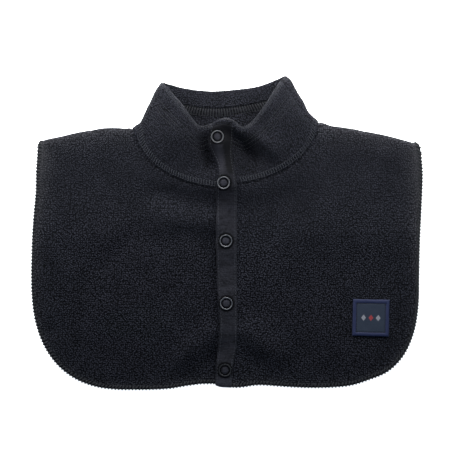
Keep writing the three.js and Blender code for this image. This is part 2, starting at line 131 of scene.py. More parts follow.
def straight_line(start, direction, count):
    """The vertices on the line of edges that leaves a corner of the grid in a direction."""
    edge = edge_towards(start, direction)
    line = [start]
    while True:
        line.append(edge.other_vert(line[-1]))
        if len(line) == count:
            return line
        edge = edge_fan(line[-1], edge)[3]


def third_corners(a, b):
    """The vertices across from the edge between two vertices, in its two triangles."""
    edge = next(e for e in a.link_edges if e.other_vert(a) == b)
    return [v for face in edge.link_faces for v in face.verts if v not in (a, b)]


def next_corner(near, beside, below):
    """The fourth corner of a cell, from its other three."""
    if below in third_corners(near, beside):
        return next(v for v in third_corners(beside, below) if v != near)
    return next(v for v in third_corners(near, beside) if v in third_corners(near, below))


def solid_grid(node, corner, along, down, stations, rows):
    """The points of a sheet's upper face as an array, from the corner nearest in plan and highest."""
    mesh = bmesh.new()
    mesh.from_mesh(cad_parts[node].data)
    bmesh.ops.remove_doubles(mesh, verts=mesh.verts, dist=WELD)
    plan = min((v.co.xy - Vector(corner)).length for v in mesh.verts)
    near = [v for v in mesh.verts if (v.co.xy - Vector(corner)).length < plan + CORNER_REACH]
    start = max(near, key=lambda v: v.co.z)
    row = straight_line(start, Vector(along), stations)
    column = straight_line(start, Vector(down), rows)
    grid = [row]
    for first in column[1:]:
        line = [first]
        for near, beside in zip(grid[-1], grid[-1][1:]):
            line.append(next_corner(near, beside, line[-1]))
        grid.append(line)
    points = np.array([[v.co[:] for v in line] for line in grid])
    mesh.free()
    return points.transpose(1, 0, 2)


# Soft folds in the cloth where it lies: the two ends of each in plan, its height and its half-width, in mm.
FOLDS = (
    ((-62, 35), (-12, 26), -2.6, 9),
    ((-66, 11), (-11, 8), 1.9, 10),
    ((-70, 9), (-106, -30), -1.4, 8),
    ((-9, -86), (-36, -108), 2.9, 11),
    ((-11, -107), (-30, -119), -0.8, 10),
    ((14, -86), (42, -104), 2.8, 11),
    ((14, -107), (36, -117), -0.8, 10),
    ((-8, -131), (5, -131.5), 1.9, 5),
    ((-21, 92), (-13, 58), -4.6, 7),
    ((-44, 83), (-24, 84), 1.4, 12),
    ((-46, 58), (-18, 52), -1.6, 11),
    ((0, 85), (25, 65), -5.2, 8.5),
    ((3, 66), (22, 54), -2.2, 11),
    ((8, 91), (38, 71), 3.4, 8),
    ((14, 22), (52, 30), -1.6, 12),
    ((64, -2), (150, -6), 1.6, 17),
    ((-160, 2), (-100, -2), 1.6, 17),
)
FOLDS_SET_IN = (2.6 * MM, 4.6 * MM)  # heights over which the folds set in: the layer at the back stays

# Small bulges of the outline where the cloth is soft: a place in plan, its move and its reach, in mm.
BULGES = (
    ((-60, 122), (-2.2, 0.8), 14),
    ((-68, 104), (-1.2, 0.0), 10),
    ((53, 131), (1.3, 0.8), 9),
    ((71, 104), (-1.8, -0.4), 7),
    ((83, 94), (-0.4, 1.3), 5),
    ((-102, 90), (0.0, 1.3), 15),
    ((-157, 79), (-0.8, 1.2), 10),
    ((166, 71), (0.8, 1.0), 8),
    ((123, -127), (-0.7, 1.0), 12),
    ((-165, 0), (-0.7, 0.0), 40),
    ((-12.4, -3.1), (3.4, 0.0), 6),
    ((13, -131), (0.0, -1.1), 8),
    ((-11.5, -132), (0.7, 1.4), 4),
    ((-8.4, 82.8), (0.7, -0.3), 9),
    ((-2.4, 43.5), (-0.3, -0.5), 8),
    ((-1, -117), (0.2, 0.9), 9),
    ((-8.5, -131.5), (-1.1, 0.7), 3.5),
)

# Painted shade along hollows and creases, and painted light in a few places: two ends in plan, tone, and
# half-width in mm.
HOLLOW_SHADE_AND_LIGHT = (
    ((3, 89), (27, 69), -0.38, 8.5),
    ((-22, 84), (-17, 60), -0.4, 7),
    ((5, 70), (18, 56), -0.5, 11),
    ((-8, 92.5), (4, 94), -0.6, 3),
    ((-24, 94), (-16, 91.5), 0.25, 3),
    ((9, 92.5), (18, 93.5), 0.25, 3),
)
# The tape's painted light and painted shade, listed in the same way.
TAPE_SHADE_AND_LIGHT = (
    ((-7.5, 74), (-4.5, 57), 0.8, 3.6),
    ((1.5, 90), (4.5, 57), -1.0, 4.6),
    ((-7, -129), (6, -129), 0.8, 5),
)


def along_lines(lines, points):
    """Each line's value, and how close points are to it in plan: 1 on it, and falling over its half-width."""
    for start, end, value, width in lines:
        start, end = np.array(start) * MM, np.array(end) * MM
        way = end - start
        share = np.clip((points[..., :2] - start) @ way / (way @ way), 0, 1)
        away = np.linalg.norm(points[..., :2] - start - share[..., None] * way, axis=-1)
        yield value, bell(away, width * MM)


# The painted light and shade along listed lines.
def painted_line_shading(hollows, points):
    return sum(tone * near for tone, near in along_lines(hollows, points))


def fold_lift(points):
    """How far the soft folds raise or sink the cloth at points."""
    lift = np.zeros(points.shape[:-1])
    for height, near in along_lines(FOLDS, points):
        lift += height * MM * near
    return lift * smooth(points[..., 2], *FOLDS_SET_IN)


def settle(points):
    """How the soft bulges and folds move the cloth at points."""
    shift = np.zeros(points.shape)
    for place, move, reach in BULGES:
        away = np.linalg.norm(points[..., :2] - np.array(place) * MM, axis=-1)
        weight = bell(away, reach * MM)
        shift[..., :2] += weight[..., None] * np.array(move) * MM
    shift[..., 2] = fold_lift(points)
    return shift


STEP_ASIDE = (0.05, 0.002)  # stations, and share of the rows, over which directions are taken
ROW_SAMPLES = 60


class Sheet:
    """A smooth surface through a grid: u counts stations, and v is a share of the way down the rows."""

    def __init__(self, grid):
        self.grid = grid
        self.u_knots = self.knots(grid)
        self.v_knots = self.knots(grid.transpose(1, 0, 2))
        self.v_knots = self.v_knots / self.v_knots[-1]

    @staticmethod
    def knots(grid):
        steps = np.linalg.norm(np.diff(grid, axis=0), axis=-1).mean(axis=1)
        return np.concatenate([[0], np.cumsum(steps)])

    @staticmethod
    def slopes(values, knots):
        before = np.concatenate([values[:1], values[:-1]])
        after = np.concatenate([values[1:], values[-1:]])
        span = np.concatenate([knots[1:], knots[-1:]]) - np.concatenate([knots[:1], knots[:-1]])
        return (after - before) / span[:, None, None]

    @staticmethod
    def blend(t, span, a, b, slope_a, slope_b):
        t = t[..., None]
        span = span[..., None]
        start = (a * (1 + 2 * t) + slope_a * span * t) * (1 - t) ** 2
        return start + (b * (3 - 2 * t) - slope_b * span * (1 - t)) * t ** 2

    def points(self, u, v):
        """Points at stations u, shape (n,), and shares v, shape (n, m)."""
        u = np.clip(np.asarray(u, float), 0, len(self.grid) - 1)
        k = np.minimum(u.astype(int), len(self.grid) - 2)
        slopes = self.slopes(self.grid, self.u_knots)
        span = (self.u_knots[k + 1] - self.u_knots[k])[:, None]
        t = np.broadcast_to((u - k)[:, None], (len(u), self.grid.shape[1]))
        lines = self.blend(t, span, self.grid[k], self.grid[k + 1], slopes[k], slopes[k + 1])
        v = np.asarray(v, float)
        j = np.clip(np.searchsorted(self.v_knots, v, side="right") - 1, 0, len(self.v_knots) - 2)
        span = self.v_knots[j + 1] - self.v_knots[j]
        t = (v - self.v_knots[j]) / span
        turned = self.slopes(lines.transpose(1, 0, 2), self.v_knots).transpose(1, 0, 2)
        ends = [np.take_along_axis(a, at[..., None], axis=1) for a in (lines, turned) for at in (j, j + 1)]
        flat = self.blend(t, span, *ends)
        return flat + settle(flat)

    def frames(self, u, v):
        """Points, and the directions out of the cloth, along the stations and down the rows."""
        du, dv = STEP_ASIDE
        along = unit(self.points(u + du, v) - self.points(u - du, v))
        down = unit(self.points(u, v + dv) - self.points(u, v - dv))
        return self.points(u, v), unit(np.cross(along, down)), along, down

    def heights(self, u):
        """The length of the row line at each station."""
        v = np.broadcast_to(np.linspace(0, 1, ROW_SAMPLES), (len(u), ROW_SAMPLES))
        return np.linalg.norm(np.diff(self.points(u, v), axis=1), axis=-1).sum(axis=1)


def seam_point(angle):
    a = math.radians(angle)
    return (NECK["x"] + NECK["across"] * math.sin(a), NECK["y"] - NECK["drop"] * math.cos(a))


seam_corner = seam_point(PLACKET_ANGLE)
bib_grid = solid_grid("bib", seam_corner, (1, 0, 0), (0, -1, 0), STATIONS, BIB_ROWS)
bib_sheet = Sheet(bib_grid[::-1])
collar_grid = solid_grid("collar", seam_corner, (1, 0, 0), (0, 1, 0), STATIONS, COLLAR_ROWS)
collar_sheet = Sheet(collar_grid[::-1, ::-1])


# Making meshes

THREAD_ASIDE = np.array([0.31, 0.22, 0.93])  # a direction that no thread follows
THREAD_END = 0.35  # how thick a thread is at its two ends


def grid_quads(rows, columns, wrap=False):
    """Quads over a grid of vertices whose columns go all the way round, and whose rows may too."""
    i, j = np.meshgrid(np.arange(rows if wrap else rows - 1), np.arange(columns), indexing="ij")
    cell = ((0, 0), (1, 0), (1, 1), (0, 1))
    return np.stack([((i + di) % rows * columns + (j + dj) % columns).ravel() for di, dj in cell], axis=1)


def add_object(name, data):
    thing = bpy.data.objects.new(name, data)
    bpy.context.scene.collection.objects.link(thing)
    return thing


class Parts:
    """Vertices and faces that become one mesh."""

    def __init__(self):
        self.verts = []
        self.faces = []
        self.count = 0

    def add(self, verts, faces):
        self.verts.append(np.asarray(verts, float).reshape(-1, 3))
        self.faces.extend((np.asarray(faces) + self.count).tolist())
        self.count += len(self.verts[-1])

    def tubes(self, paths, radius, sides=5):
        """A round thread along each path of an array (threads, points, 3), thinner at its two ends."""
        threads, steps, _ = paths.shape
        forward = unit(np.gradient(paths, axis=1))
        across = unit(np.cross(forward, unit(THREAD_ASIDE)))
        other = np.cross(forward, across)
        turn = np.linspace(0, 2 * np.pi, sides, endpoint=False)[:, None]
        ring = np.cos(turn) * across[:, :, None] + np.sin(turn) * other[:, :, None]
        taper = np.ones(steps)
        taper[[0, -1]] = THREAD_END
        verts = paths[:, :, None] + radius * taper[None, :, None, None] * ring
        first = np.arange(threads)[:, None, None] * steps * sides
        start = self.count
        self.add(verts, (first + grid_quads(steps, sides)[:, [0, 3, 2, 1]]).reshape(-1, 4))
        cap = first[:, 0] + np.arange(sides) + start
        self.faces.extend(cap[:, ::-1].tolist())
        self.faces.extend((cap + (steps - 1) * sides).tolist())

    def piece(self, name):
        mesh = bpy.data.meshes.new(name)
        mesh.from_pydata(np.concatenate(self.verts), [], self.faces)
        mesh.shade_smooth()
        return add_object(name, mesh)


def dress(piece, material):
    """Gives a piece its finish and its body."""
    piece.data.materials.append(MATERIALS[material])
    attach(piece, "root")


def zipped(points, first):
    """Triangles across a thin closed outline, between its two long sides."""
    faces = []
    a, b = 0, len(points) - 1
    while b - a > 1:
        onward = np.linalg.norm(points[a + 1] - points[b])
        back = np.linalg.norm(points[a] - points[b - 1])
        if onward < back:
            faces.append((first + a, first + a + 1, first + b))
            a += 1
        else:
            faces.append((first + a, first + b - 1, first + b))
            b -= 1
    return faces


def path_lengths(points, axis):
    """How far each point lies along its line of points."""
    first = np.take(points, [0], axis=axis)
    return np.cumsum(np.linalg.norm(np.diff(points, axis=axis, prepend=first), axis=-1), axis=axis)


def along_cloth(rings):
    """Each point's place on the cloth: its distance along the stations and round its own profile."""
    length = path_lengths(rings[:, rings.shape[1] // 4], 0)
    round_it = path_lengths(rings, 1)
    return np.stack([np.broadcast_to(length[:, None], round_it.shape), round_it], axis=-1)


SHEAR = np.array([0.8, 0.6])


def over_plan(rings):
    """Each point's place in plan, sheared by its height so that upright faces aren't streaked."""
    return rings[..., :2] + rings[..., 2:] * SHEAR


END_TURNS = (30, 57, 80)  # degrees of the profiles that round off a sheet's two ends


def closed_sheet(name, sides, middles, reach, places=over_plan):
    """A closed mesh round a sheet, with its two ends rounded off.

    The sides are arrays (stations, points, 3) of its outer face, its far edge, its inner face and its near
    edge. The middles are those of the cloth's thickness under the points of the two faces.
    """
    outer, inner = middles
    far = np.repeat(outer[:, -1:], sides[1].shape[1], axis=1)
    near = np.repeat(outer[:, :1], sides[3].shape[1], axis=1)
    middles = np.concatenate([outer, far, inner, near], axis=1)
    rings = np.concatenate(sides, axis=1)
    ends = []
    for last, before in ((0, 1), (-1, -2)):
        onward = unit(middles[last] - middles[before])
        turns = [math.radians(angle) for angle in END_TURNS]
        flat = rings[last] - middles[last]
        ends.append([middles[last] + flat * math.cos(t) + onward * reach * math.sin(t) for t in turns])
    rings = np.concatenate([np.array(ends[0][::-1]), rings, np.array(ends[1])])
    rings[..., 2] = np.maximum(rings[..., 2], 0)
    count, points, _ = rings.shape
    parts = Parts()
    parts.add(rings, grid_quads(count, points))
    parts.faces.extend(zipped(rings[0], 0))
    parts.faces.extend(face[::-1] for face in zipped(rings[-1], (count - 1) * points))
    piece = parts.piece(name)
    corners = np.empty(len(piece.data.loops), dtype=np.int32)
    piece.data.loops.foreach_get("vertex_index", corners)
    layer = piece.data.uv_layers.new(name="cloth")
    layer.data.foreach_set("uv", places(rings).reshape(-1, 2)[corners].ravel())
    return piece


def mark_painted_shading(piece, sides, tones):
    """Gives each side of a closed sheet its painted shading: over 0 painted light, under 0 painted shade."""
    tones = [np.broadcast_to(tone, side.shape[:2]) for side, tone in zip(sides, tones)]
    values = np.concatenate(tones, axis=1).ravel()
    full = np.zeros(len(piece.data.vertices))
    skip = (len(full) - len(values)) // 2
    full[skip:skip + len(values)] = values
    layer = piece.data.attributes.new("painted_shading", "FLOAT", "POINT")
    layer.data.foreach_set("value", full)


def round_edge(points, out, onward, thickness, reach, steps=5):
    """The points that turn a sheet's edge from its outer face to its inner one."""
    turn = np.linspace(0, np.pi, steps + 2)[1:-1, None]
    half = (thickness / 2)[:, None, None]
    centre = points[:, None] - out[:, None] * half
    return centre + out[:, None] * half * np.cos(turn) + onward[:, None] * reach * np.sin(turn)


END_INSET = 0.26  # stations kept free at both ends, where a sheet rounds off
FINE_STATIONS = 2400


def stations_at(cells):
    """Stations round the neck, with this many cells in each zone, a little in from both ends."""
    spots = []
    start = 0
    for zone, coarse in ZONES:
        spots.append(np.linspace(start, start + coarse, cells[zone], endpoint=False))
        start += coarse
    return np.clip(np.append(np.concatenate(spots), start), END_INSET, STATIONS - 1 - END_INSET)


def spaced_stations(sheet, v, pitch, first, last):
    """Stations at even distances along a sheet's row, between two stations."""
    fine = np.linspace(first, last, FINE_STATIONS)
    length = path_lengths(sheet.points(fine, np.full((len(fine), 1), v))[:, 0], 0)
    marks = np.arange(0.5, math.floor(length[-1] / pitch)) * pitch
    return np.interp(marks, length, fine)


def calm(u):
    """A factor that lowers relief where the cloth lies between other layers."""
    left, strip = zone_start("left"), zone_start("strip")
    least = 0.25
    return (least + (1 - least) * smooth(u, left, left + 1.5) * fade(u, strip - 0.3, strip + 0.3))[:, None]


def middles_of(points, out, thickness):
    return points - out * np.reshape(thickness, (len(points), -1, 1)) / 2


# The fleece's own relief: the size and height of its lumps.
NAP = ((17 * MM, 0.5 * MM), (7 * MM, 0.16 * MM))
NAP_PLACE = 0.1
PUCKER = {"height": 0.35 * MM, "reach": 5 * MM, "waves": ((7.9, 0), (3.1, 1))}


def nap(points):
    return sum(height * lumps(points + NAP_PLACE, size) for size, height in NAP)


def seam_pucker(u, depth):
    """The small gathers that the neck seam's stitches draw, fading away from the seam."""
    first, second = [np.sin(u * often + start)[:, None] for often, start in PUCKER["waves"]]
    return PUCKER["height"] * first * second * bell(depth, PUCKER["reach"])


def groove_shade(points):
    """The painted shade in the groove of the neck seam: more at the front than on the shoulders."""
    front, shoulders = 0.7, 0.14
    return front + (shoulders - front) * smooth(points[..., 1], 50 * MM, 80 * MM)


def painted_fold_light(sheet, points, share, tone, reach):
    """The painted highlight at the two lines where a sheet turns over at the shoulders."""
    gaps = []
    for zone, cells in ZONES:
        if zone.endswith("fold"):
            line = sheet.points(np.full(len(points), zone_start(zone) + cells / 2), share)
            gaps.append(np.linalg.norm(points - line, axis=-1))
    return tone * np.exp(-np.minimum(*gaps) / reach)


SNAP_NUMBERS = range(1, 6)


def node_plane(node):
    """The middle of a flat solid and the direction square to it, pointing up."""
    points = np.array([v.co[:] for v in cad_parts[node].data.vertices])
    middle = (points.max(axis=0) + points.min(axis=0)) / 2
    points = points + settle(points)
    square = np.linalg.svd(points - points.mean(axis=0), full_matrices=False)[2][2]
    square = square * np.sign(square[2])
    middle = middle + settle(middle)
    away = (points - middle) @ square
    middle[2] += (away.max() + away.min()) / 2 / square[2]
    return middle, square


snap_planes = [node_plane(f"snap_ring_{number}") for number in SNAP_NUMBERS]


# The bib
BIB_CELLS = {"under": 6, "left": 236, "left_fold": 14, "back": 140,
             "right_fold": 14, "right": 236, "strip": 12}
BIB_STEPS = {"rows": 104, "spread": 1.06, "inner_rows": 14}
EDGE_ROWS = np.array([4.6, 3.8, 3.1, 2.5, 2.0]) * MM  # how far the last rows lie inside the hem
LAST_CELL = 0.8 * MM
HEM_INSET = FLEECE / 2 + 0.5 * MM

# The bib tucks under the collar at the neck seam: how far down, how deep, over which rows, how round.
TUCK = {"down": 1.3 * MM, "deep": 0.6 * MM, "rows": (-0.2 * MM, 1.6 * MM), "round": 0.4 * MM}


def bib_painted_light(points, depth, height):
    """The painted light and shade of the bib's outer face and of its hem's edge."""
    up = points[..., 1]
    to_hem = height - depth
    strength = 0.7 + 0.4 * smooth(up, 0, 70 * MM)
    reach = 3 * MM + 4 * MM * smooth(up, -115 * MM, 70 * MM)
    # A painted highlight along the hem, stronger and wider up the bib.
    hem_highlight = strength * np.exp(-to_hem / reach) * smooth(to_hem, 1.3 * MM, 2.4 * MM)
    # A painted highlight where the cloth turns over at the shoulders.
    fold_highlight = painted_fold_light(bib_sheet, points, depth / height, tone=0.48, reach=7.5 * MM)
    low = fade(up, -110 * MM, -30 * MM)
    # Painted shade beside the hem's stitches, low down.
    shade_by_thread = 0.7 * low * fade(to_hem, 1.8 * MM, 2.6 * MM)
    # Painted shade in the neck seam's groove.
    groove = groove_shade(points) * fade(depth, 0.6 * MM, 1.6 * MM)
    # Painted shade on the hem's rounded edge, low down.
    edge = -0.6 * low[:, -1:]
    return np.maximum(hem_highlight, fold_highlight) - shade_by_thread - groove, edge


def make_bib():
    u = stations_at(BIB_CELLS)
    height = bib_sheet.heights(u)[:, None]
    share = np.linspace(0, 1, BIB_STEPS["rows"]) ** BIB_STEPS["spread"]
    main = (height - EDGE_ROWS[0] - LAST_CELL + TUCK["down"]) * share - TUCK["down"]
    depth = np.concatenate([main, height - np.append(EDGE_ROWS, HEM_INSET)], axis=1)
    points, out, _, down = bib_sheet.frames(u, depth / height)
    relief = nap(points) * smooth(np.minimum(height - depth, depth), 1.2 * MM, 6 * MM)
    tuck = TUCK["deep"] * fade(depth, *TUCK["rows"])
    points = points + out * ((relief + seam_pucker(u, depth)) * calm(u) - tuck)[..., None]
    thickness = np.full(len(u), FLEECE)
    hem_edge = round_edge(points[:, -1], out[:, -1], down[:, -1], thickness, FLEECE / 2)
    seam_edge = round_edge(points[:, 0], out[:, 0], -down[:, 0], thickness, TUCK["round"])[:, ::-1]
    inner_share = np.linspace(0, 1, BIB_STEPS["inner_rows"])
    inner_depth = height - HEM_INSET - (height - HEM_INSET + TUCK["down"]) * inner_share
    inner, inner_out, _, _ = bib_sheet.frames(u, inner_depth / height)
    inner = inner - inner_out * FLEECE
    sides = (points, hem_edge, inner, seam_edge)
    middles = (middles_of(points, out, thickness), middles_of(inner, -inner_out, thickness))
    piece = closed_sheet("bib_fleece", sides, middles, FLEECE / 2)
    dress(piece, "fleece")
    mark_painted_shading(piece, sides, (*bib_painted_light(points, depth, height), 0, 0))
    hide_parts("bib")


# The collar
COLLAR_CELLS = {"under": 8, "left": 130, "left_fold": 18, "back": 190,
                "right_fold": 18, "right": 130, "strip": 16}
COLLAR_STEPS = {"rows": 62, "single": 26, "folded": 20}
SEAM_ROLL = 1.0 * MM
RIM = {"reach": 1.5 * MM, "steps": 7, "pinch": 1.0 * MM}
HEM_LINES = np.array([12.0, 15.8, 19.6]) * MM
BAND = {"pitch": 2.3 * MM, "top": 13.2 * MM, "bottom": 19.8 * MM, "thread": 0.68 * MM}


def rim_pinch(depth):
    """How far each face draws in towards the rim, which makes a soft roll."""
    return RIM["pinch"] * fade(depth, -1 * MM, 6 * MM)


def collar_thickness(depth):
    """Two layers from the rim to the hem's edge, then one with the band of stitches over it."""
    edge = 0.55 * smooth(depth, HEM_DEPTH, HEM_DEPTH + 0.9 * MM)
    band_end = 0.45 * smooth(depth, BAND["bottom"] - 5 * MM, BAND["bottom"] + 2 * MM)
    return FLEECE * (2 - edge - band_end)


def collar_nap(points, depth, height):
    """The collar's relief, which fades towards the seam and a little towards the rim."""
    return nap(points) * smooth(np.minimum(height - depth, depth + 2 * MM), 0.8 * MM, 5 * MM)


def collar_inner_rows(height):
    """Distances from the rim of the rows on the inner face, from the seam up and over the folded edge."""
    single_end, folded_start = HEM_DEPTH + 1.2 * MM, HEM_DEPTH - 0.8 * MM
    step = HEM_DEPTH + np.array([0.8, 0.4, 0.0]) * MM
    single = np.linspace(1, 0, COLLAR_STEPS["single"]) * (height - SEAM_ROLL - single_end) + single_end
    folded = np.append(step, np.linspace(folded_start, 0, COLLAR_STEPS["folded"]))
    return np.concatenate([single, np.broadcast_to(folded, (len(height), len(folded)))], axis=1)


def collar_painted_light(points, depth, height, inner_depth):
    """The painted light and shade of the collar's outer face, its seam's edge, its inner face and its rim."""
    fold_highlight = painted_fold_light(collar_sheet, points, depth / height, tone=0.3, reach=4 * MM)
    # Painted highlights at the shoulder folds and along the rim.
    rim_band_highlight = 0.33 * bell(depth, 2.0 * MM)
    # Painted shade in the neck seam's groove.
    groove = groove_shade(points) * smooth(depth, height - 1.6 * MM, height - 0.8 * MM)
    outer = np.maximum(rim_band_highlight, fold_highlight) + painted_line_shading(HOLLOW_SHADE_AND_LIGHT, points) - groove
    soft = 0.5 * MM
    in_band = smooth(inner_depth, BAND["top"] - soft, BAND["top"] + soft)
    in_band = in_band * fade(inner_depth, BAND["bottom"] - soft, BAND["bottom"] + soft)
    # A painted highlight on the rim's edge, and painted shade on the inner face under the band of stitches.
    rim = 0.3
    return outer, 0, -0.5 * in_band, rim


def make_collar():
    u = stations_at(COLLAR_CELLS)
    height = collar_sheet.heights(u)[:, None]
    depth = (height - SEAM_ROLL) * np.linspace(0, 1, COLLAR_STEPS["rows"])
    points, out, _, down = collar_sheet.frames(u, depth / height)
    relief = collar_nap(points, depth, height) + seam_pucker(u, height - depth)
    for line in HEM_LINES:
        relief -= 0.35 * MM * bell(depth, 0.8 * MM, at=line)
    points = points + out * (relief * calm(u) - rim_pinch(depth))[..., None]
    single = np.full(len(u), FLEECE)
    seam_edge = round_edge(points[:, -1], out[:, -1], down[:, -1], single, SEAM_ROLL)
    folded = 2 * single - 2 * rim_pinch(0)
    rim_edge = round_edge(points[:, 0], out[:, 0], -down[:, 0], folded, RIM["reach"], RIM["steps"])[:, ::-1]
    inner_depth = collar_inner_rows(height)
    inner, inner_out, _, _ = collar_sheet.frames(u, inner_depth / height)
    lift = 0.8 * collar_nap(inner, inner_depth, height) * calm(u)
    away = collar_thickness(inner_depth) - rim_pinch(inner_depth) + lift
    inner = inner - inner_out * away[..., None]
    sides = (points, seam_edge, inner, rim_edge)
    middles = (middles_of(points, out, collar_thickness(depth) - 2 * rim_pinch(depth)),
               middles_of(inner, -inner_out, collar_thickness(inner_depth) - 2 * rim_pinch(inner_depth)))
    piece = closed_sheet("collar_fleece", sides, middles, FLEECE / 2, along_cloth)
    dress(piece, "fleece")
    mark_painted_shading(piece, sides, collar_painted_light(points, depth, height, inner_depth))
    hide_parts("collar")


# Threads

def rows_at(height, depth):
    """A distance down the rows as a share: from the first row, or from the last where it is negative."""
    return (np.where(depth < 0, height + depth, depth) / height)[:, None]


def on_sheet(sheet, u, depth, away):
    """Points over a sheet's outer face, or under it where away is negative."""
    points, out, _, _ = sheet.frames(u, rows_at(sheet.heights(u), depth))
    return points[:, 0] + out[:, 0] * np.reshape(away, (-1, 1))


def dashes(sheet, u, depth, away, dip):
    """Short stitches along the stations, one at each, whose two ends dip into the cloth."""
    reach = np.linspace(-0.42, 0.42, 5)
    spots = (u[:, None] + np.gradient(u)[:, None] * reach).ravel()
    rise = away + dip * np.tile([1, 0.2, 0, 0.2, 1], len(u))
    return on_sheet(sheet, spots, depth, rise).reshape(len(u), 5, 3)


def above_floor(paths, radius):
    paths[..., 2] = np.maximum(paths[..., 2], radius)
    return paths


# The loops over the hem: points above and below the cloth, each a share of the way to the next loop and a
# distance inside the edge, and between them an arc that starts at a share of that way.
OVERLOCK = {"pitch": 2.95 * MM, "thread": 0.78 * MM, "proud": 0.25 * MM, "arc_at": 0.37, "arc_points": 6,
            "above": ((0.0, 3.5 * MM), (0.12, 2.8 * MM), (0.24, 2.1 * MM)),
            "below": ((0.5, 2.1 * MM), (0.62, 2.8 * MM), (0.75, 3.5 * MM))}
HEM_STITCH = {"inside": 3.6 * MM, "thread": 0.3 * MM}


def make_overlock():
    """Thread loops that wrap the bib's lower edge, and the line of stitches inside them."""
    u = spaced_stations(bib_sheet, 1, OVERLOCK["pitch"], 0.3, STATIONS - 1.3)
    step = np.gradient(u)
    radius = OVERLOCK["thread"]
    over, under = 0.5 * radius, -FLEECE - 0.3 * radius
    paths = [on_sheet(bib_sheet, u + step * shift, -inside, over) for shift, inside in OVERLOCK["above"]]
    spots = u + step * OVERLOCK["arc_at"]
    points, out, _, down = bib_sheet.frames(spots, rows_at(bib_sheet.heights(spots), -HEM_INSET))
    centre = points[:, 0] - out[:, 0] * FLEECE / 2
    for turn in np.linspace(0, np.pi, OVERLOCK["arc_points"]):
        rise = (FLEECE / 2 + 0.4 * radius) * math.cos(turn)
        reach = (FLEECE / 2 + OVERLOCK["proud"]) * math.sin(turn)
        paths.append(centre + out[:, 0] * rise + down[:, 0] * reach)
    paths += [on_sheet(bib_sheet, u + step * shift, -inside, under) for shift, inside in OVERLOCK["below"]]
    parts = Parts()
    parts.tubes(above_floor(np.stack(paths, axis=1), radius), radius)
    line = dashes(bib_sheet, u, -HEM_STITCH["inside"], away=0.15 * MM, dip=-0.5 * MM)
    parts.tubes(above_floor(line, HEM_STITCH["thread"]), HEM_STITCH["thread"])
    dress(parts.piece("hem_overlock"), "dark_thread")


LADDER = {"pitch": 2.3 * MM, "low": 1.9 * MM, "high": 6.0 * MM, "thread": 0.3 * MM,
          "points": 6, "slant": 0.35}


def make_neck_stitches():
    """The flat ladder of stitches on the collar along the neck seam."""
    first, last = zone_start("left") + 0.2, zone_start("strip") - 0.2
    u = spaced_stations(collar_sheet, 1, LADDER["pitch"], first, last)
    radius = LADDER["thread"]
    rungs = []
    for share in np.linspace(0, 1, LADDER["points"]):
        spots = u + np.gradient(u) * (share - 0.5) * LADDER["slant"]
        inside = LADDER["low"] + (LADDER["high"] - LADDER["low"]) * share
        arch = (0.25 - (2 * share - 1) ** 4 * 0.4) * MM
        rungs.append(on_sheet(collar_sheet, spots, -inside, arch))
    parts = Parts()
    parts.tubes(above_floor(np.stack(rungs, axis=1), radius), radius)
    for inside in (LADDER["low"], LADDER["high"]):
        line = dashes(collar_sheet, u, -inside, away=0.2 * MM, dip=-0.4 * MM)
        parts.tubes(above_floor(line, radius), 0.8 * radius)
    dress(parts.piece("neck_seam_stitches"), "thread")


DASH_THREAD = 0.3 * MM
NEEDLE_THREAD = 0.23 * MM


def make_collar_stitches():
    """The hem's stitches: the ribbed band over its edge inside, and needle lines outside the collar."""
    u = spaced_stations(collar_sheet, 0.3, BAND["pitch"], 0.2, STATIONS - 1.2)
    ribs = []
    for share in np.linspace(0, 1, 9):
        depth = BAND["top"] + (BAND["bottom"] - BAND["top"]) * share
        away = collar_thickness(depth) - 0.05 * MM - 0.5 * MM * (2 * share - 1) ** 6
        ribs.append(on_sheet(collar_sheet, u, depth, -away))
    parts = Parts()
    parts.tubes(np.stack(ribs, axis=1), BAND["thread"])
    for depth in (BAND["top"], BAND["bottom"]):
        away = collar_thickness(depth) + 0.2 * MM
        parts.tubes(dashes(collar_sheet, u, depth, -away, dip=0.4 * MM), DASH_THREAD)
    dress(parts.piece("collar_hem_stitches"), "mid_thread")
    lines = Parts()
    for depth in HEM_LINES:
        lines.tubes(dashes(collar_sheet, u, depth, away=-0.04 * MM, dip=-0.3 * MM), NEEDLE_THREAD)
    dress(lines.piece("collar_needle_lines"), "dark_thread")


FIBRES = {"count": 3588, "stations": (3.5, 78.5), "deep": 3.2 * MM, "length": 1.5 * MM,
          "thread": 0.07 * MM, "sides": 3}


def make_rim_fibres():
    """The short brushed fibres that stand off the collar's rim, and lean over it the closer they are."""
    count = FIBRES["count"]
    u = np.sort(rng.uniform(*FIBRES["stations"], count))
    depth = FIBRES["deep"] * rng.random(count) ** 1.3
    points, out, along, down = collar_sheet.frames(u, rows_at(collar_sheet.heights(u), depth))
    start = points[:, 0] - out[:, 0] * (rim_pinch(depth) + 0.15 * MM)[:, None]
    near_rim = (1 - depth / FIBRES["deep"])[:, None]
    lean = out[:, 0] * (1.1 - 0.7 * near_rim) - down[:, 0] * (0.2 + 1.1 * near_rim)
    lean = unit(lean + 0.9 * rng.normal(size=(count, 3)))
    bend = along[:, 0] * rng.normal(size=(count, 1)) * 0.5
    length = FIBRES["length"] * (0.5 + rng.random((count, 1)))
    paths = [start + length * (lean * share + bend * share ** 2) for share in (0, 0.5, 1)]
    parts = Parts()
    parts.tubes(np.stack(paths, axis=1), FIBRES["thread"], FIBRES["sides"])
    dress(parts.piece("rim_fibres"), "sheen_fibre")


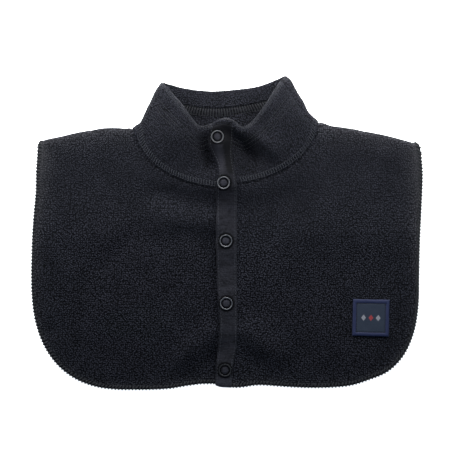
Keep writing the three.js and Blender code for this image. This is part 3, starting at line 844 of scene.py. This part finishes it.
# The placket's tape
TAPE = {"cells": 4, "rows": 26, "thickness": 0.7 * MM, "across_steps": 26, "down_steps": 290, "inset": 0.08}
TAPE_SPAN = (0.014, 0.9985)  # the shares of its length from which and to which it reaches
RIPPLE = ((17 * MM, 0.3 * MM), (5.5 * MM, 0.2 * MM))
TAPE_CORNER = (-13.2 * MM, 91.8 * MM)
TAPE_WAYS = ((0.8, 0.6, 0), (-0.3, -0.9, 0.3))
TAPE_STITCH = {"at": 0.4, "pitch": 2.6 * MM, "thread": 0.24 * MM, "clear": 3 * MM,
               "arch": np.array([-0.35, -0.02, 0.06, -0.02, -0.35]) * MM}
tape_grid = solid_grid("placket_tape", TAPE_CORNER, *TAPE_WAYS, TAPE["cells"] + 1, TAPE["rows"])
tape_sheet = Sheet(tape_grid[::-1])

SNAP_HIGHLIGHTS = (0.85, 1.1, 1.3, 0.9, 0.6)  # how strong the painted highlight is on the tape inside each ring
RING_SHADES = ((3.9 * MM, 0.7 * MM), (6.3 * MM, 0.8 * MM))  # radius and width of the painted shade close to a ring


def snap_distances(points):
    """How far points are from the middle of each snap, along its own plane."""
    for middle, square in snap_planes:
        away = points - middle
        yield np.linalg.norm(away - (away @ square)[..., None] * square, axis=-1)


def snap_press(points):
    """How the snaps shape the tape: a groove under each ring and a crown inside it."""
    press = np.zeros(points.shape[:-1])
    for away in snap_distances(points):
        crown = 0.45 * MM * fade(away, 1 * MM, 4 * MM)
        groove = 0.55 * MM * bell(away, 1.1 * MM, at=4.7 * MM)
        press += crown - groove
    return press


def snap_light_and_shade(points):
    """Painted shading from the snaps: a painted highlight inside each ring, and painted shade close to it."""
    tape_shading = np.zeros(points.shape[:-1])
    for away, ring_highlight in zip(snap_distances(points), SNAP_HIGHLIGHTS):
        tape_shading += ring_highlight * fade(away, 2.0 * MM, 3.8 * MM)
        for radius, width in RING_SHADES:
            tape_shading -= 0.8 * bell(away, width, at=radius)
    return tape_shading


def thin_sheet(name, points, out, down, thickness, inner_step, places=over_plan):
    """A closed piece and its sides, from a shaped upper face, with a plain face under it."""
    even = np.full(len(points), thickness)
    far = round_edge(points[:, -1], out[:, -1], down[:, -1], even, thickness / 2, 3)
    near = round_edge(points[:, 0], out[:, 0], -down[:, 0], even, thickness / 2, 3)[:, ::-1]
    inner = points[:, ::-inner_step] - out[:, ::-inner_step] * thickness
    middle = middles_of(points, out, even)
    sides = (points, far, inner, near)
    return closed_sheet(name, sides, (middle, middle[:, ::-inner_step]), thickness / 2, places), sides


def make_tape():
    u = np.linspace(TAPE["inset"], TAPE["cells"] - TAPE["inset"], TAPE["across_steps"] + 1)
    v = np.broadcast_to(np.linspace(*TAPE_SPAN, TAPE["down_steps"]), (len(u), TAPE["down_steps"]))
    points, out, _, down = tape_sheet.frames(u, v)
    from_edge = np.minimum(u, TAPE["cells"] - u)[:, None]
    ribs = points * np.array([0.35, 1, 1]) + 0.3
    ripple = sum(height * lumps(ribs, size) for size, height in RIPPLE) * smooth(from_edge, 0, 0.8)
    thin_edge = 0.3 * MM * fade(from_edge, 0, 0.25)
    stitch_line = 0.12 * MM * bell(from_edge, 0.1, at=TAPE_STITCH["at"])
    points = points + out * (ripple - thin_edge - stitch_line + snap_press(points))[..., None]
    piece, sides = thin_sheet("placket_band", points, out, down, TAPE["thickness"], 6)
    mark_painted_shading(piece, sides, (snap_light_and_shade(points) + painted_line_shading(TAPE_SHADE_AND_LIGHT, points), 0, 0, 0))
    dress(piece, "tape")
    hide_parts("placket_tape")


def add_stitches(parts, stitch, points, out):
    """Stitches through points on the cloth, each arched along the directions out of it."""
    arch = stitch["arch"]
    rise = np.tile(arch, len(points) // len(arch))[:, None]
    parts.tubes((points + out * rise).reshape(-1, len(arch), 3), stitch["thread"])


def make_tape_stitches():
    pitch, clear = TAPE_STITCH["pitch"], TAPE_STITCH["clear"]
    length = float(tape_sheet.heights(np.array([TAPE["cells"] / 2]))[0])
    marks = np.arange(clear, length - clear, pitch)
    rows = (marks[:, None] + np.linspace(-0.4, 0.4, 5) * pitch).reshape(1, -1) / length
    parts = Parts()
    for spot in (TAPE_STITCH["at"], TAPE["cells"] - TAPE_STITCH["at"]):
        points, out, _, _ = tape_sheet.frames(np.array([spot]), rows)
        add_stitches(parts, TAPE_STITCH, points[0], out[0])
    dress(parts.piece("placket_stitches"), "thread")


# The snaps

# A ring's radii and height, the shares of that height over and under its middle, and the prongs' marks.
SNAP = {"outer": 5.4 * MM, "inner": 4.47 * MM, "height": 0.95 * MM, "over_under": (0.55, 0.4),
        "tilt": 0.12 * MM, "mark": 0.1 * MM, "segments": 72, "profile": 14, "prongs": 5}
# The first and the last cap take darker copies of the snap metal: painted shade and a painted dim reflection.
# The studs take the first of these as their finish.
SNAP_FINISHES = ("dim_metal", "metal", "metal", "metal", "shaded_metal")


def make_ring(number, middle, square):
    """An open cap ring with a rounded top, a turned-in inner lip and the marks of its prongs."""
    across = unit(np.cross(square, [0, 1, 0]))
    other = np.cross(square, across)
    turn = np.linspace(0, 2 * np.pi, SNAP["segments"], endpoint=False)[:, None]
    profile = np.linspace(0, 2 * np.pi, SNAP["profile"], endpoint=False)
    half = (SNAP["outer"] - SNAP["inner"]) / 2
    centre = (SNAP["outer"] + SNAP["inner"]) / 2
    pinch = SNAP["mark"] * np.cos(SNAP["prongs"] * turn) ** 8 * (np.cos(profile) < 0)
    radius = centre + half * np.sign(np.cos(profile)) * np.abs(np.cos(profile)) ** 0.8 - pinch
    share = np.where(np.sin(profile) > 0, *SNAP["over_under"])
    rise = share * SNAP["height"] * np.sin(profile) + SNAP["tilt"] * np.cos(profile)
    plane = np.cos(turn) * across + np.sin(turn) * other
    verts = middle + radius[..., None] * plane[:, None] + rise[None, :, None] * square
    parts = Parts()
    parts.add(verts, grid_quads(SNAP["segments"], SNAP["profile"], wrap=True))
    piece = parts.piece(f"snap_cap_{number}")
    dress(piece, SNAP_FINISHES[number - 1])
    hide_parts(f"snap_ring_{number}")


def finish_stud(number):
    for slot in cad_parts[f"snap_stud_{number}"].material_slots:
        slot.material = MATERIALS["dim_metal"]


# The patch
PATCH = {"cells": 6, "side": 31.4 * MM, "thickness": 0.5 * MM, "steps": 60, "border": 3.3 * MM}
PATCH_CORNER = (108.5 * MM, -57 * MM)
PATCH_STITCH = {"inside": PATCH["border"] + 0.1 * MM, "pitch": 2.1 * MM, "thread": 0.2 * MM,
                "arch": np.array([-0.4, 0.05, 0.12, 0.05, -0.4]) * MM}
patch_lines = PATCH["cells"] + 1
patch_grid = solid_grid("label_patch", PATCH_CORNER, (1, 0, 0), (0, -1, 0), patch_lines, patch_lines)
patch_sheet = Sheet(patch_grid[::-1])


def on_patch(rings):
    """Each point's place on the patch, from 0 to 1 along its two sides."""
    plan = unit(patch_grid[-1, 0] - patch_grid[0, 0])
    tall = unit(patch_grid[0, 0] - patch_grid[0, -1])
    return (rings - patch_grid[0, -1]) @ np.stack([plan, tall], axis=1) / PATCH["side"]


def make_patch():
    side = PATCH["side"]
    u = np.linspace(0.04, PATCH["cells"] - 0.04, PATCH["steps"] + 1)
    v = np.broadcast_to(np.linspace(0.006, 0.994, len(u)), (len(u), len(u)))
    points, out, along, down = patch_sheet.frames(u, v)
    x = (u / PATCH["cells"] * side)[:, None]
    edge = np.minimum(np.minimum(x, side - x), np.minimum(v, 1 - v) * side)
    border = fade(edge, PATCH["border"] - 0.6 * MM, PATCH["border"] + 0.2 * MM)
    groove = bell(edge, 0.5 * MM, at=PATCH["border"])
    thin_edge = 0.4 * MM * fade(edge, 0, 0.9 * MM)
    relief = 0.3 * MM * (border - groove) - thin_edge + 0.12 * MM * lumps(points, 5 * MM)
    wander = 0.16 * MM * lumps(points + 0.7, 6 * MM) * border
    points = points + out * relief[..., None] + wander[..., None] * (along + down)
    piece, _ = thin_sheet("patch_cloth", points, out, down, PATCH["thickness"], 4, on_patch)
    dress(piece, "patch")
    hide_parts("label_patch")


def make_patch_stitches():
    inside, pitch, side = PATCH_STITCH["inside"], PATCH_STITCH["pitch"], PATCH["side"]
    marks = np.arange(inside, side - inside, pitch)
    reach = (marks[:, None] + np.linspace(0, 0.75, 5) * pitch).ravel()
    parts = Parts()
    for number in range(4):
        other = np.full(len(reach), inside if number % 2 else side - inside)
        x, y = (reach, other) if number < 2 else (other, reach)
        points, out, _, _ = patch_sheet.frames(x / side * PATCH["cells"], (y / side)[:, None])
        add_stitches(parts, PATCH_STITCH, points[:, 0], out[:, 0])
    dress(parts.piece("patch_stitches"), "patch_thread")


# Finishes

class Shader:
    """A material's node tree, built by short calls."""

    def __init__(self, name):
        self.material = bpy.data.materials.new(name)
        self.material.use_nodes = True
        self.tree = self.material.node_tree
        self.surface = self.tree.nodes["Principled BSDF"]
        self.object_space = self.node("ShaderNodeTexCoord").outputs["Object"]
        self.cloth_space = self.node("ShaderNodeTexCoord").outputs["UV"]

    def node(self, kind, **values):
        node = self.tree.nodes.new(kind)
        for key, value in values.items():
            if key in node.inputs:
                self.put(node.inputs[key], value)
            else:
                setattr(node, key, value)
        return node

    def put(self, socket, value):
        if isinstance(value, bpy.types.NodeSocket):
            self.tree.links.new(value, socket)
        else:
            socket.default_value = value

    def wire(self, node, values):
        for place, value in values.items():
            self.put(node.inputs[place], value)
        return node.outputs

    def math(self, operation, a, b=0.0, clamp=False):
        node = self.node("ShaderNodeMath", operation=operation, use_clamp=clamp)
        return self.wire(node, {0: a, 1: b})[0]

    def add(self, a, b, clamp=False):
        return self.math("ADD", a, b, clamp)

    def subtract(self, a, b, clamp=False):
        return self.math("SUBTRACT", a, b, clamp)

    def times(self, a, b, clamp=False):
        return self.math("MULTIPLY", a, b, clamp)

    def total(self, *terms, less=0.0):
        """The sum of pairs of value and weight, less a level, kept between 0 and 1."""
        value = self.times(*terms[0])
        for term in terms[1:]:
            value = self.add(value, self.times(*term))
        return self.subtract(value, less, clamp=True)

    def ramp(self, value, start, run):
        """From 0 at a start to 1 after a run, which is negative where it goes down."""
        return self.times(self.subtract(value, start), 1 / run, clamp=True)

    def axes(self, space):
        return self.node("ShaderNodeSeparateXYZ", Vector=space).outputs

    def vector(self, operation, a, b):
        return self.wire(self.node("ShaderNodeVectorMath", operation=operation), {0: a, 1: b})[0]

    def noise(self, space, size, detail=2.0, roughness=0.5, output="Fac"):
        values = {"Vector": space, "Scale": 1 / size, "Detail": detail, "Roughness": roughness}
        return self.node("ShaderNodeTexNoise", **values).outputs[output]

    def cells(self, space, size, scatter):
        node = self.node("ShaderNodeTexVoronoi", voronoi_dimensions="2D")
        return self.wire(node, {"Vector": space, "Scale": 1 / size, "Randomness": scatter})["Distance"]

    def blend(self, factor, a, b):
        return self.wire(self.node("ShaderNodeMix", data_type="RGBA"), {0: factor, 6: a, 7: b})[2]

    def painted_shading(self):
        """The painted light and shade that the cloth's mesh carries."""
        return self.node("ShaderNodeAttribute", attribute_name="painted_shading").outputs["Fac"]

    def finish(self, color, relief=None, depth=0.0, strength=1.0, **values):
        """The material, with a relief that its bump raises to a depth."""
        self.put(self.surface.inputs["Base Color"], color)
        if relief is not None:
            bump = self.node("ShaderNodeBump", Height=relief, Distance=depth, Strength=strength)
            self.put(self.surface.inputs["Normal"], bump.outputs["Normal"])
        for key, value in values.items():
            self.surface.inputs[key.replace("_", " ")].default_value = value
        return self.material


def gray(value, warm=0.0, cool=0.0):
    return (value * (1 + warm), value, value * (1 + cool), 1.0)


SHEEN_TINT = gray(0.8, warm=-0.05, cool=0.25)
# The fleece's colours: pit_shade between the nubs, partly its own dark tone and partly painted shade; top on
# the nubs; painted_shading, the painted highlight's colour.
FLEECE_TONES = {"pit_shade": gray(0.0006, -0.2, 0.5), "top": gray(0.0238, -0.03, 0.3),
                "painted_shading": gray(0.14, 0.02, 0.05)}
TAPE_TONES = (gray(0.0012, -0.05, 0.35), gray(0.0165, 0.0, 0.26))


def fleece_material():
    """Brushed fleece: nubs with painted shade between them, evener where painted light is strong and up the
    bib.
    """
    s = Shader("black_fleece")
    drift = s.vector("SUBTRACT", s.noise(s.cloth_space, 1.6 * MM, detail=1.0, output="Color"), (0.5,) * 3)
    place = s.vector("ADD", s.cloth_space, s.vector("MULTIPLY", drift, (0.7 * MM,) * 3))
    nubs = s.cells(place, size=1.65 * MM, scatter=0.7)
    grains = s.cells(s.vector("ADD", place, (0.31, 0.17, 0.0)), size=1.3 * MM, scatter=0.9)
    patches = s.noise(s.object_space, size=14 * MM)
    fuzz = s.noise(s.object_space, size=0.8 * MM, detail=1.0, roughness=0.6)
    height = s.subtract(1.0, s.add(nubs, s.times(grains, 0.7)))
    light = s.total((height, 1.35), (fuzz, 0.5), (patches, 0.3), less=0.42)
    painted_shading = s.painted_shading()
    # The painted shading darkens the nubs where it is under 0 and brightens them where it is over 0.
    light = s.times(s.times(light, light), s.add(painted_shading, 1.0, clamp=True))
    up = s.axes(s.object_space)["Y"]
    rise, fall = s.ramp(up, start=-20 * MM, run=90 * MM), s.ramp(up, start=100 * MM, run=-60 * MM)
    # brushed: how far the nubs are evened out, by the painted light and in a band up the bib.
    brushed = s.total((painted_shading, 0.9), (s.math("MINIMUM", rise, fall), 0.45))
    light = s.add(light, s.times(s.subtract(0.2, light), brushed))
    # The nubs' tops take the painted highlight's colour where the painted light is strong.
    color = s.blend(light, FLEECE_TONES["pit_shade"], s.blend(painted_shading, FLEECE_TONES["top"], FLEECE_TONES["painted_shading"]))
    relief = s.add(height, s.times(fuzz, 0.15))
    return s.finish(color, relief, depth=0.9 * MM, strength=0.7, Roughness=0.92, Specular_IOR_Level=0.05,
                    Sheen_Weight=0.02, Sheen_Roughness=0.45, Sheen_Tint=SHEEN_TINT)


def thread_material(name, value):
    s = Shader(name)
    fibres = s.noise(s.object_space, size=0.5 * MM)
    color = s.blend(fibres, gray(0.4 * value, warm=-0.1, cool=0.35), gray(value, warm=-0.1, cool=0.4))
    return s.finish(color, fibres, depth=0.15 * MM, strength=0.6, Roughness=0.7, Specular_IOR_Level=0.25,
                    Sheen_Weight=0.03, Sheen_Roughness=0.4)


def tape_material():
    """Fine knit tape with ribs across it, painted shade darker up the collar, and painted shading from its
    mesh.
    """
    s = Shader("black_knit_tape")
    up = s.axes(s.object_space)["Y"]
    wander = s.times(s.noise(s.object_space, size=6 * MM), 2.2 * MM)
    rib = s.math("SINE", s.times(s.add(up, wander), 2 * math.pi / (1.5 * MM)))
    grain = s.noise(s.object_space, size=1.5 * MM, detail=3.0, roughness=0.6)
    patches = s.noise(s.vector("MULTIPLY", s.object_space, (0.4, 1.0, 1.0)), size=5 * MM)
    light = s.total((rib, 0.04), (grain, 1.5), (patches, 0.9), less=0.75)
    # Painted shade: the tape darkens up the collar.
    dark = s.times(s.ramp(up, start=20 * MM, run=60 * MM), 0.75)
    light = s.times(light, s.subtract(1.0, dark))
    # The mesh's painted light and shade.
    painted_shading = s.painted_shading()
    light = s.times(light, s.add(painted_shading, 1.0, clamp=True))
    light = s.add(light, s.times(painted_shading, 0.5), clamp=True)
    relief = s.add(s.times(rib, 0.12), grain)
    return s.finish(s.blend(light, *TAPE_TONES), relief, depth=0.5 * MM, strength=0.6, Roughness=0.8,
                    Specular_IOR_Level=0.06, Sheen_Weight=0.01, Sheen_Roughness=0.45, Sheen_Tint=SHEEN_TINT)


# The patch's dark and light threads, and the place along it and colour of each diamond.
FIELD = ((0.001, 0.0035, 0.0095, 1.0), (0.0052, 0.0115, 0.024, 1.0))
TURNED = ((0.0001, 0.0013, 0.012, 1.0), (0.0015, 0.0062, 0.038, 1.0))
PALE = (0.12, 0.12, 0.13, 1.0)
RED = (0.14, 0.012, 0.014, 1.0)
DIAMONDS = ((0.3, PALE), (0.5, RED), (0.7, PALE))
DIAMOND = {"half_height": 0.085, "slimmer": 1.3}


def patch_material():
    """A woven patch: a blue field with a lilac-blue turned border and a row of three small diamonds."""
    s = Shader("woven_patch")
    place = s.axes(s.cloth_space)
    x, y = [s.math("ABSOLUTE", s.subtract(place[axis], 0.5)) for axis in "XY"]
    border = s.math("GREATER_THAN", s.math("MAXIMUM", x, y), 0.5 - PATCH["border"] / PATCH["side"])
    weft = s.noise(s.vector("MULTIPLY", s.cloth_space, (30.0, 75.0, 1.0)), size=1.0)
    color = s.blend(border, s.blend(weft, *FIELD), s.blend(weft, *TURNED))
    for centre, tint in DIAMONDS:
        across = s.times(s.math("ABSOLUTE", s.subtract(place["X"], centre)), DIAMOND["slimmer"])
        inside = s.math("LESS_THAN", s.add(across, y), DIAMOND["half_height"])
        color = s.blend(inside, color, tint)
    return s.finish(color, weft, depth=0.2 * MM, strength=0.5, Roughness=0.7, Specular_IOR_Level=0.3)


def metal_material(name, value, roughness):
    s = Shader(name)
    spots = s.noise(s.object_space, size=2.5 * MM, detail=3.0, roughness=0.6)
    color = s.blend(spots, gray(0.8 * value, cool=0.03), gray(1.2 * value, cool=0.05))
    return s.finish(color, spots, depth=0.05 * MM, strength=0.4, Metallic=1.0, Roughness=roughness)


MATERIALS = {
    "fleece": fleece_material(),
    "thread": thread_material("black_thread", 0.014),
    "mid_thread": thread_material("mid_thread", 0.0056),
    "dark_thread": thread_material("dark_thread", 0.004),
    # The rim's fibres are lighter than the fleece: a painted sheen.
    "sheen_fibre": thread_material("fleece_fibre_sheen", 0.028),
    "tape": tape_material(),
    "patch": patch_material(),
    "patch_thread": thread_material("patch_thread", 0.0025),
    "metal": metal_material("snap_metal", 0.1, 0.45),
    # Darker copies of the snap metal: painted shade on the first and the last cap.
    "dim_metal": metal_material("dim_snap_metal", 0.072, 0.45),
    "shaded_metal": metal_material("shaded_snap_metal", 0.026, 0.5),
}


# Building

make_bib()
make_collar()
make_overlock()
make_neck_stitches()
make_collar_stitches()
make_rim_fibres()
make_tape()
make_tape_stitches()
for number, plane in zip(SNAP_NUMBERS, snap_planes):
    make_ring(number, *plane)
    finish_stud(number)
make_patch()
make_patch_stitches()


# The studio
FLOOR = {"level": -0.3 * MM, "size": 6.0, "glow": 1.05, "white": (0.95, 0.95, 0.95, 1.0)}
LIGHTS = {
    "top_light": {"at": (0.02, 0.26, 0.18), "size": (0.3, 0.14), "power": 2.4},
    "left_light": {"at": (-0.33, 0.2, 0.18), "size": (0.2, 0.14), "power": 1.9},
    "right_light": {"at": (0.33, 0.2, 0.18), "size": (0.2, 0.14), "power": 1.5},
}
SKY = {"color": (0.48, 0.7, 1.0, 1.0), "strength": 0.45}

# The camera looks straight down on a square of the floor, this many pixels of this size wide.
PIXEL = 0.86 * MM
FRAME_PIXELS = 460
CENTRE = Vector((2.95 * MM, 2.6 * MM, 0.0))
CAMERA = {"height": 3.2, "sensor": 36.0, "sees_to": 50.0}


def make_floor():
    half = FLOOR["size"] / 2
    corners = [(x * half, y * half, FLOOR["level"]) for x, y in ((-1, -1), (1, -1), (1, 1), (-1, 1))]
    parts = Parts()
    parts.add(corners, [(0, 1, 2, 3)])
    floor = parts.piece("floor")
    white = FLOOR["white"]
    finish = Shader("pale_floor").finish(white, Roughness=0.9, Specular_IOR_Level=0.0,
                                         Emission_Color=white, Emission_Strength=FLOOR["glow"])
    floor.data.materials.append(finish)


def make_light(name, at, size, power):
    lamp = bpy.data.lights.new(name, "AREA")
    lamp.shape = "RECTANGLE"
    lamp.size, lamp.size_y = size
    lamp.energy = power
    light = add_object(name, lamp)
    light.location = at
    light.visible_camera = False
    light.rotation_euler = (-Vector(at)).to_track_quat("-Z", "Y").to_euler()


def make_camera():
    lens = bpy.data.cameras.new("view")
    lens.sensor_width = CAMERA["sensor"]
    lens.lens = lens.sensor_width * CAMERA["height"] / (FRAME_PIXELS * PIXEL)
    lens.clip_end = CAMERA["sees_to"]
    camera = add_object("view", lens)
    camera.location = CENTRE + Vector((0, 0, CAMERA["height"]))
    bpy.context.scene.camera = camera


def make_sky():
    world = bpy.data.worlds.new("studio")
    world.use_nodes = True
    background = world.node_tree.nodes["Background"]
    background.inputs["Color"].default_value = SKY["color"]
    background.inputs["Strength"].default_value = SKY["strength"]
    bpy.context.scene.world = world
    bpy.context.scene.view_settings.view_transform = "Standard"


make_floor()
for name, light in LIGHTS.items():
    make_light(name, **light)
make_camera()
make_sky()
